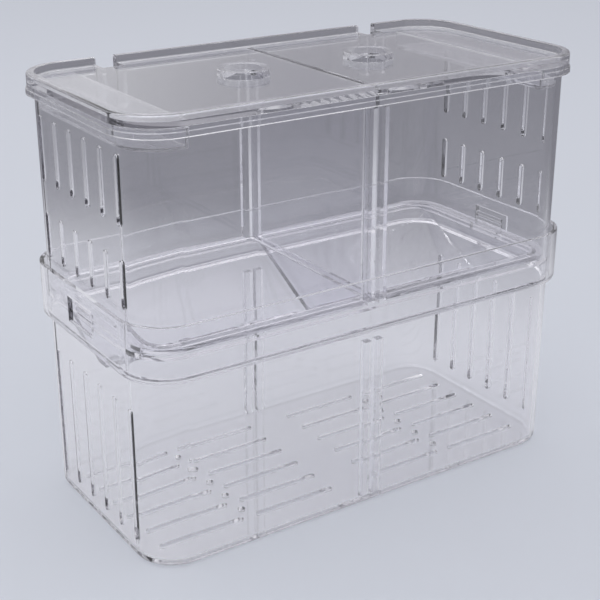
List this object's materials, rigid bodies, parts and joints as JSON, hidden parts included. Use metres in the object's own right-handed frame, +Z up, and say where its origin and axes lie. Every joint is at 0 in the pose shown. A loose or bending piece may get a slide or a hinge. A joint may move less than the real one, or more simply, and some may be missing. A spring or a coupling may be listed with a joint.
{
  "type": "fish breeding box",
  "caption": "Clear floating breeding box for aquarium fish: slotted fry tray below, nesting chamber with V funnels and a lift-out divider above, sealed air floats and a lid with feed holes.",
  "frame": {"origin": "centre of the bottom face, on the surface that the box stands on", "axes": "+Z up, +X along the length towards the right end, +Y towards the long back wall with the air line guides"},
  "size_m": [0.2, 0.1, 0.17],
  "materials": {
    "clear_tray": "clear glossy crystal plastic, colourless",
    "clear_chamber": "clear glossy crystal plastic with a faint grey cast",
    "clear_float": "clear glossy crystal plastic",
    "clear_insert": "clear glossy crystal plastic, thin",
    "clear_lid": "clear glossy crystal plastic with a faint grey cast"
  },
  "bodies": {
    "tray": {"lower_box": "clear_tray"},
    "chamber": {"upper_box": "clear_chamber", "float_trough_left": "clear_float", "float_trough_right": "clear_float", "float_cap_left": "clear_float", "float_cap_right": "clear_float"},
    "funnel_l": {"funnel_left": "clear_insert"},
    "funnel_r": {"funnel_right": "clear_insert"},
    "partition": {"divider": "clear_insert"},
    "cover": {"lid": "clear_lid"}
  },
  "joints": [
    {"name": "chamber_lift", "type": "slide", "parent": "tray", "child": "chamber", "axis": [0, 0, 1], "range_m": [0, 0.04]},
    {"name": "lid_lift", "type": "slide", "parent": "chamber", "child": "cover", "axis": [0, 0, 1], "range_m": [0, 0.02]},
    {"name": "divider_lift", "type": "slide", "parent": "chamber", "child": "partition", "axis": [0, 0, 1], "range_m": [0, 0.086]},
    {"name": "funnel_left_lift", "type": "slide", "parent": "chamber", "child": "funnel_l", "axis": [0, 0, 1], "range_m": [0, 0.06]},
    {"name": "funnel_right_lift", "type": "slide", "parent": "chamber", "child": "funnel_r", "axis": [0, 0, 1], "range_m": [0, 0.06]}
  ]
}
